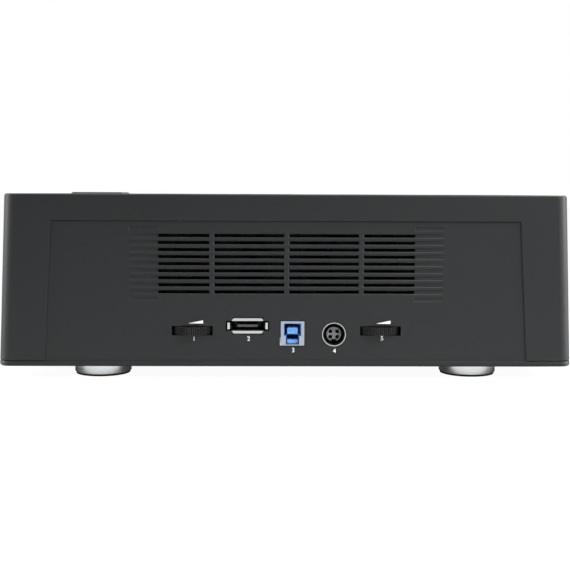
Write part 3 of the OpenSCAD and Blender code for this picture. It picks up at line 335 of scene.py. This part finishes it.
# The flat data port: one strip of nickel-plated steel folded into a tube. Its mouth flares
# into a petal above and below and an ear at each side, which guide the plug in. They are bright,
# and the bore behind them is drawn rougher and coloured dark, a painted shade for the shade deep in the tube,
# its tone matched.
def pick(piece, kind, chosen):
    """In edit mode, select the vertices, edges or faces whose middle passes a test of place."""
    only(piece)
    bpy.context.tool_settings.mesh_select_mode = [kind == each for each in ("VERT", "EDGE", "FACE")]
    bpy.ops.object.mode_set(mode="EDIT")
    bpy.ops.mesh.select_all(action="DESELECT")
    bpy.ops.object.mode_set(mode="OBJECT")
    points = piece.data.vertices
    parts = {"VERT": points, "EDGE": piece.data.edges, "FACE": piece.data.polygons}[kind]
    for part in parts:
        corners = [part.co] if kind == "VERT" else [points[i].co for i in part.vertices]
        part.select = chosen(sum(corners, Vector()) / len(corners))
    bpy.ops.object.mode_set(mode="EDIT")


flat_low, flat_high = map(Vector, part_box("flat_port_shell"))
flat_mid = Vector((0.0191, 0, 0.0261))
throat_y, mouth_y = flat_high.y - 0.0013, flat_high.y
half_w, half_h, cut, sheet_t, bright_lip = 0.0079, 0.00195, 0.0004, 0.0003, 0.0005
petal_steps = ((0.0005, 0.001, 1.06), (0.0013, 0, 0.87))
ear_steps = ((0.0009, 0.0011, 1.0), (0.0011, 0.0002, 1.1))
bpy.ops.object.select_all(action="DESELECT")
bpy.ops.mesh.primitive_cube_add(size=1, location=(flat_mid.x, (flat_low.y + throat_y) / 2, flat_mid.z),
                                scale=(2 * half_w, throat_y - flat_low.y, 2 * half_h))
flat_shell = bpy.context.object
flat_shell.name = flat_shell.data.name = "flat_port_shell_folded"
bpy.ops.object.transform_apply(location=True, rotation=True, scale=True)
pick(flat_shell, "FACE", lambda p: p.y > throat_y - 1e-5)
bpy.ops.mesh.delete(type="FACE")
bpy.ops.object.mode_set(mode="OBJECT")
pick(flat_shell, "EDGE", lambda p: abs(p.x - flat_mid.x) > half_w - 1e-5
     and abs(p.z - flat_mid.z) > half_h - 1e-5)
bpy.ops.mesh.bevel(offset=cut, segments=1, affect="EDGES", clamp_overlap=False)
bpy.ops.object.mode_set(mode="OBJECT")
for side in (1, -1):
    pick(flat_shell, "EDGE", lambda p: p.y > throat_y - 1e-5 and side * (p.z - flat_mid.z) > half_h - 1e-5)
    for rise, ahead, narrow in petal_steps:
        bpy.ops.mesh.extrude_edges_move(TRANSFORM_OT_translate={"value": (0, ahead, side * rise)})
        bpy.ops.transform.resize(value=(narrow, 1, 1), center_override=(flat_mid.x, mouth_y, flat_mid.z))
    bpy.ops.object.mode_set(mode="OBJECT")
    pick(flat_shell, "EDGE", lambda p: throat_y - 1e-5 < p.y < throat_y + 1e-5
         and side * (p.x - flat_mid.x) > half_w - 1e-5)
    for out, ahead, tall in ear_steps:
        bpy.ops.mesh.extrude_edges_move(TRANSFORM_OT_translate={"value": (side * out, ahead, 0)})
        bpy.ops.transform.resize(value=(1, 1, tall), center_override=(flat_mid.x, mouth_y, flat_mid.z))
    bpy.ops.object.mode_set(mode="OBJECT")
sheet = flat_shell.modifiers.new("sheet", "SOLIDIFY")
sheet.thickness = sheet_t
sheet.offset = 1
bpy.ops.object.modifier_apply(modifier=sheet.name)
flat_shell.data.materials.append(metal("nickel_plated_steel", "#c9cbcd", 0.33, 0.5, (1, 0.1, 0.1)))
flat_shell.data.materials.append(metal("flat_bore_painted_shade", "#2c2d2e", 0.55, 0.5, (1, 0.1, 0.1)))
# Faces behind the lip take the dark second finish: painted shade.
for face in flat_shell.data.polygons:
    if face.center.y < mouth_y - bright_lip:
        face.material_index = 1
settle(flat_shell, "case", "port_metal", "flat_port_shell")
dress(moulded("grey_polyester_tongue", "#48494b", 0.45, 0.3, 0.6, 0.08), "flat_port_tongue")

# The power inlet: a black polyester housing, a plated screening ring and a grey insulator
# with four holes for the plug's pins. The ring's bore and the contacts deep in the holes are
# drawn rougher and coloured dark, a painted shade for the shade inside them, their tones matched.
dress(moulded("inlet_polyester", "#141516", 0.5, 0.3, 0.6, 0.1), "inlet_housing")
ring_nickel = metal("nickel_plated_ring", "#d0d3d6", 0.35, 0.4, (1, 0.1, 1))
ring_painted_shade = metal("ring_bore_painted_shade", "#2a2b2c", 0.6, 0.4, (1, 0.1, 1))
ring_low, ring_high = map(Vector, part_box("inlet_ring"))
ring_mid = (ring_low + ring_high) / 2
ring = copied("inlet_ring_drawn", "inlet_ring", ring_nickel)
outer_rim, least_inward = 0.0003, 0.0008
ring_edge = (ring_high.x - ring_low.x) / 2 - outer_rim
round_edges(ring, 0.5, lambda p: p.y > ring_high.y - 1e-5
            and math.hypot(p.x - ring_mid.x, p.z - ring_mid.z) < ring_edge)
# Faces that look in towards the ring's axis take the painted shade.
ring.data.materials.append(ring_painted_shade)
for face in ring.data.polygons:
    inwards = ring_mid - face.center
    inwards.y = 0
    if face.normal.dot(inwards) > least_inward:
        face.material_index = 1
settle(ring, "case", "inlet_metal", "inlet_ring")
dress(moulded("inlet_insulator", "#6a6a6a", 0.5, 0.3, 0.6, 0.08), "inlet_core")
# The contacts sit deep in the holes and are coloured dark: painted shade.
dress(metal("tinned_bronze_painted_shade", "#3a3835", 0.55, 0.4, (1, 0.1, 1)), "inlet_contacts")

# Two thumb wheels set the fans' speed. Each is black acetal with a knurled rim, and presses
# onto the stem of a rotary control soldered under the board. The ribs' crests are painted paler than
# the valleys, a painted highlight on the crests and painted shade in the valleys, so that the knurling shows.
rib_deep = 0.00035
wheel_low, wheel_high = map(Vector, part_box("speed_wheel_1"))
wheel_r = (wheel_high.x - wheel_low.x) / 2
axle = (abs(wheel_low.x + wheel_high.x) / 2, (wheel_low.y + wheel_high.y) / 2, 0)
acetal = moulded("black_acetal", "#070707", 0.34, 0.2, 0.5, 0.08, 1.48)
tree = acetal.node_tree
place = add(tree, "ShaderNodeTexCoord").outputs["Object"]
either = add(tree, "ShaderNodeVectorMath", {0: place}, operation="ABSOLUTE")
from_axle = add(tree, "ShaderNodeVectorMath", {0: either.outputs[0], 1: axle}, operation="SUBTRACT")
in_plane = add(tree, "ShaderNodeVectorMath", {0: from_axle.outputs[0], 1: (1, 1, 0)}, operation="MULTIPLY")
radius = add(tree, "ShaderNodeVectorMath", {0: in_plane.outputs[0]}, operation="LENGTH")
# Paler towards the rim: painted highlight on the crests, painted shade in the valleys.
crest_highlight = add(tree, "ShaderNodeMapRange", {"Value": radius.outputs["Value"],
                                         "From Min": wheel_r - 0.45 * rib_deep, "From Max": wheel_r})
rib_highlight_tint = add(tree, "ShaderNodeMix", {"Factor": crest_highlight.outputs["Result"], "A": linear("#040404"),
                                       "B": linear("#303031")}, data_type="RGBA")
tree.links.new(rib_highlight_tint.outputs["Result"], tree.nodes["Principled BSDF"].inputs["Base Color"])
dress(acetal, "speed_wheel_1", "speed_wheel_2")
dress(moulded("control_phenolic", "#22262c", 0.5, 0.3, 0.6, 0.1), "speed_controls")

# Two fans: open square frames and their rotors, both in black polyester, screwed behind the
# vent. Each has a pair of thin leads down to a header on the board.
fan_polyester = moulded("fan_polyester", "#070808", 0.5, 0.1, 0.8, 0.12)
dress(fan_polyester, "fan_frame_1", "fan_frame_2", "fan_rotor_1", "fan_rotor_2")
dress(zinc_plate, "fan_screws")


def wires(name, material, radius_mm, routes):
    """Round wires along smooth routes of points, made one mesh."""
    curve = bpy.data.curves.new(name, "CURVE")
    curve.dimensions = "3D"
    curve.bevel_depth = radius_mm / 1000
    curve.bevel_resolution = 2
    curve.use_fill_caps = True
    curve.materials.append(material)
    for route in routes:
        line = curve.splines.new("POLY")
        line.points.add(len(route) - 1)
        for point, place in zip(line.points, route):
            point.co = (place[0] / 1000, place[1] / 1000, place[2] / 1000, 1)
    piece = bpy.data.objects.new(name, curve)
    bpy.context.scene.collection.objects.link(piece)
    only(piece)
    bpy.ops.object.convert(target="MESH")
    return bpy.context.object


def twisted_pair(spine, turns):
    """Two routes that twist round a spine that runs upwards, 0.3 mm off it."""
    last = len(spine) - 1
    pair = []
    for start in (0, math.pi):
        angles = [math.tau * turns * i / last + start for i in range(len(spine))]
        pair.append([(x + 0.3 * math.cos(angle), y + 0.3 * math.sin(angle), z)
                     for angle, (x, y, z) in zip(angles, spine)])
    return pair


lead_vinyl = moulded("lead_vinyl", "#18181a", 0.5, 0.35, 0.5, 0.05, 1.53)
fan_x, lead_y, header_top, frame_entry, lead_steps = 32, 53.85, 37.8, 50, 48
lead_heights = [header_top + (frame_entry - header_top) * i / lead_steps for i in range(lead_steps + 1)]
fan_spines = [[(x, lead_y, height) for height in lead_heights] for x in (-fan_x, fan_x)]
fan_pairs = [route for spine in fan_spines for route in twisted_pair(spine, 3)]
settle(wires("fan_leads_twisted", lead_vinyl, 0.29, fan_pairs), "case", "lead", "fan_leads")

# The rear panel: a flat moulding let into the shell, slotted for the fans' air and cut out for
# the wheels and the ports. Its marks are screen printed in white: a wedge over each wheel for
# less and more, and a plain number at each control and port.
panel_low, panel_high = map(Vector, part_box("rear_panel"))
panel_face = 0.0686
panel_abs = moulded("sparked_abs_panel", "#191b1c")
panel = copied("rear_panel_moulding", "rear_panel", panel_abs)
side_strip, fade_end = 0.004, 0.0755
round_edges(panel, 0.1, lambda p: p.y > panel_face - 1e-5
            and (p.x < panel_low.x + side_strip or p.x > panel_high.x - side_strip
                 or p.z > panel_high.z - 1e-4))
for deep, lift in ((0.0004, 0.0002), (0.00025, 0.00005)):
    pick(panel, "VERT", lambda p: abs(p.x) > fade_end and abs(panel_face - deep - p.y) < 2e-5
         and panel_low.x + side_strip < p.x < panel_high.x - side_strip)
    bpy.ops.transform.translate(value=(0, lift, 0))
    bpy.ops.object.mode_set(mode="OBJECT")
settle(panel, "case", "panel_plastic", "rear_panel", smooth=30)

white_ink = moulded("white_screen_ink", "#e9ebea", 0.6, 0.3, 0.4, 0.15)
wedge_tip, wedge_end, wedge_low, wedge_high, ink = 0.0478, 0.0410, 0.02725, 0.0288, 0.00005
tip_drop, wedge_apart = 0.00135, 0.0922
bpy.ops.object.select_all(action="DESELECT")
bpy.ops.mesh.primitive_cube_add(size=1, scale=(wedge_tip - wedge_end, ink, wedge_high - wedge_low),
                                location=((wedge_tip + wedge_end) / 2, panel_face + ink / 2,
                                          (wedge_low + wedge_high) / 2))
wedges = bpy.context.object
wedges.name = wedges.data.name = "speed_wedges_printed"
bpy.ops.object.transform_apply(location=True, rotation=True, scale=True)
pick(wedges, "VERT", lambda p: p.x > wedge_tip - 1e-5 and p.z > wedge_high - 1e-5)
bpy.ops.transform.translate(value=(0, 0, -tip_drop))
bpy.ops.mesh.select_all(action="SELECT")
bpy.ops.mesh.duplicate()
bpy.ops.transform.translate(value=(-wedge_apart, 0, 0))
bpy.ops.object.mode_set(mode="OBJECT")
wedges.data.materials.append(white_ink)
settle(wedges, "case", "panel_plastic")

figure_h = 0.0031
number_places = ((0.0454, 0.0196), (0.0186, 0.0197), (-0.0033, 0.0140), (-0.0237, 0.0137), (-0.0471, 0.0200))
numbers = []
for number, (x, z) in enumerate(number_places, start=1):
    bpy.ops.object.text_add(location=(x, panel_face + ink / 2, z), rotation=(math.pi / 2, 0, math.pi))
    figure = bpy.context.object
    figure.data.body = str(number)
    figure.data.align_x, figure.data.align_y = "CENTER", "CENTER"
    figure.data.size = figure_h
    figure.data.extrude = ink / 2
    only(figure)
    bpy.ops.object.convert(target="MESH")
    numbers.append(bpy.context.object)
bpy.ops.object.select_all(action="DESELECT")
for figure in numbers:
    figure.select_set(True)
bpy.context.view_layer.objects.active = numbers[0]
bpy.ops.object.join()
numbers = bpy.context.object
numbers.name = numbers.data.name = "port_numbers_printed"
bpy.ops.object.transform_apply(location=True, rotation=True, scale=True)
numbers.data.materials.append(white_ink)
settle(numbers, "case", "panel_plastic")

# Four drive bays: black ABS chutes screwed up under the roof, each with a door that swings down
# on a steel pin when a drive is pushed in. A torsion spring on the pin brings it back, drawn here
# as its coil alone.
chute_abs = moulded("chute_abs", "#17191a", 0.5, 0.25)
dress(chute_abs, *(f"bay_chute_{bay}" for bay in (1, 2, 3, 4)))
door_abs = moulded("sparked_abs_doors", "#1c1e1f", 0.5, 0.25)
for bay in (1, 2, 3, 4):
    door = copied(f"bay_door_{bay}_moulding", f"bay_door_{bay}", door_abs)
    door_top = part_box(f"bay_door_{bay}")[1][2]
    round_edges(door, 0.25, lambda p: p.z > door_top - 1e-5)
    settle(door, f"door_{bay}", "door_plastic", f"bay_door_{bay}")
drawn_steel = metal("drawn_spring_steel", "#a9adb2", 0.3, 0.3, (1, 0.1, 1))
dress(drawn_steel, "door_pins")
dress(zinc_plate, "chute_screws")
spring_turns, spring_steps, spring_reach, spring_radius = 6, 24, 9, 1.05
hinge_off, hinge_y, hinge_z = 14.75, -3.9, 86.6
coils = []
for bay_x in (-102, -46, 10, 66):
    turns = [i / spring_steps for i in range(spring_turns * spring_steps + 1)]
    coils.append([(bay_x - hinge_off + spring_radius * math.cos(math.tau * turn),
                   hinge_y + spring_reach * (turn / spring_turns - 0.5),
                   hinge_z + spring_radius * math.sin(math.tau * turn)) for turn in turns])
settle(wires("door_springs_wound", drawn_steel, 0.175, coils), "case", "steel", "door_springs")

# The top shell: walls and roof in one ABS moulding that drops over the tray, with round
# corners, four bay openings and the place for the control pad.
shell_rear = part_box("top_shell")[1][1]
shell_abs = moulded("sparked_abs_shell", "#191b1c")
shell = copied("top_shell_moulding", "top_shell", shell_abs)
round_edges(shell, 0.45, lambda p: p.y > shell_rear - 1e-5 and panel_low.x - 0.002 < p.x < panel_high.x + 0.002
            and p.z < panel_high.z + 0.001)
settle(shell, "case", "shell_plastic", "top_shell")

# The control pad: a thin ABS plate let into the roof, with the power button and a clear lens.
# The button presses a switch on a small board of its own, wired down to the main board.
pad_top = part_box("control_pad")[1][2]
pad = copied("control_pad_moulding", "control_pad", moulded("sparked_abs_pad", "#191b1c", 0.42, 0.3))
round_edges(pad, 0.2, lambda p: p.z > pad_top - 1e-5)
settle(pad, "case", "pad_plastic", "control_pad")
button_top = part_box("power_button")[1][2]
button_abs = moulded("satin_abs_button", "#2a2d2e", 0.38, 0.35, 0.7, 0.08)
button = copied("power_button_moulding", "power_button", button_abs)
round_edges(button, 0.4, lambda p: p.z > button_top - 1e-5, 3)
settle(button, "button", "button_plastic", "power_button")
button_low, button_high = (Vector(corner) * 1000 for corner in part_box("power_button"))
button_mid = (button_low + button_high) / 2
sign_r, sign_gap, sign_steps, sign_line = 2.4, 35, 40, 0.16
sign_turns = [math.radians(sign_gap + (360 - 2 * sign_gap) * i / sign_steps) for i in range(sign_steps + 1)]
sign_arc = [(button_mid.x + sign_r * math.sin(turn), button_mid.y + sign_r * math.cos(turn), button_high.z)
            for turn in sign_turns]
sign_bar = [(button_mid.x, button_mid.y + sign_r * part, button_high.z) for part in (0.3, 0.75, 1.2)]
sign = wires("button_sign_inlaid", white_ink, sign_line, [sign_arc, sign_bar])
settle(sign, "button", "button_plastic")
dress(moulded("switch_nylon", "#1b1c1e", 0.5, 0.3, 0.6, 0.1), "power_switch")
dress(zinc_plate, "button_board_screws")
spine_low, spine_high, spine_steps = Vector((91.85, -43.9, 37.8)), Vector((98, -43.9, 74)), 80
button_spine = []
for i in range(spine_steps + 1):
    part = i / spine_steps
    swing = 1 - (1 - part) ** 2 * (1 + 2 * part)
    button_spine.append((spine_low.x + (spine_high.x - spine_low.x) * swing, spine_low.y,
                         spine_low.z + (spine_high.z - spine_low.z) * part))
button_pair = twisted_pair(button_spine, 8)
settle(wires("button_lead_twisted", lead_vinyl, 0.29, button_pair), "case", "lead", "button_lead")

# The lights: clear polycarbonate pipes and a lens carry each board light's glow to the outside.
# Moulded clear and polished, they show the dark inside of the case through a glossy skin.
clear = moulded("clear_polycarbonate", "#dfe8ea", 0.14, 0.5, 2.0, 0.03, 1.58)
clear.node_tree.nodes["Principled BSDF"].inputs["Transmission Weight"].default_value = 0.85
dress(clear, "power_lens", "light_pipes")
dress(moulded("light_epoxy", "#c9d6dc", 0.25, 0.5, 1.0, 0.05, 1.54), "status_lights")

# The case screws come up through the tray into the shell's posts and close the case:
# zinc-plated steel with round heads, sunk in their wells.
dress(zinc_plate, "case_screws")
